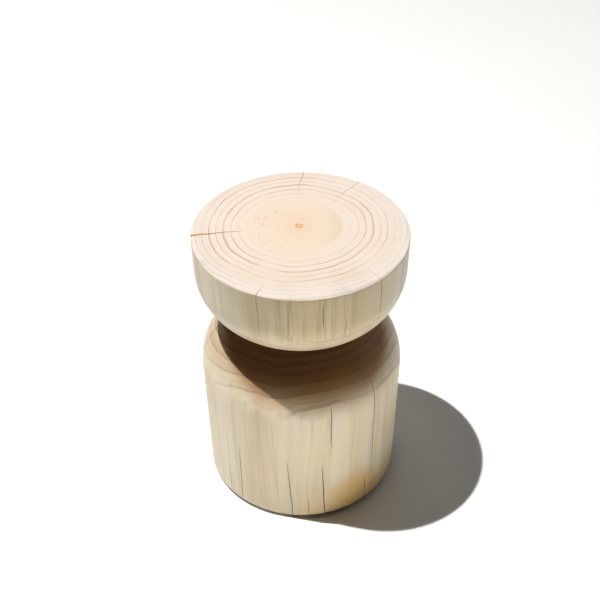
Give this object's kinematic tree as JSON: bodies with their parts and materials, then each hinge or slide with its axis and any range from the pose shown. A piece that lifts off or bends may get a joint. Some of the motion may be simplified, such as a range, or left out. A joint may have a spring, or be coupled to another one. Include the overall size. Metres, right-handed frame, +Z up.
{
  "type": "turned log side table",
  "caption": "Low side table or stool turned from solid log: flat round top on a bowl shape, narrow waist and round-shouldered cylindrical base, raised on low felt glides.",
  "frame": {"origin": "centre of the footprint, at floor level under the felt glides", "axes": "+Z up along the log's axis; -Y is the front; +X is to the right seen from the front"},
  "size_m": [0.315, 0.315, 0.45],
  "materials": {
    "log_wood": "sanded pale softwood log with a thin matt oil finish, end grain on top",
    "nylon": "moulded dark brown nylon",
    "felt": "pressed wool felt",
    "screw_steel": "zinc-plated steel"
  },
  "bodies": {
    "root": {"log_body": "log_wood", "glide_cup_1": "nylon", "glide_cup_2": "nylon", "glide_cup_3": "nylon", "glide_cup_4": "nylon", "felt_pad_1": "felt", "felt_pad_2": "felt", "felt_pad_3": "felt", "felt_pad_4": "felt", "glide_screw_1": "screw_steel", "glide_screw_2": "screw_steel", "glide_screw_3": "screw_steel", "glide_screw_4": "screw_steel"}
  },
  "joints": []
}
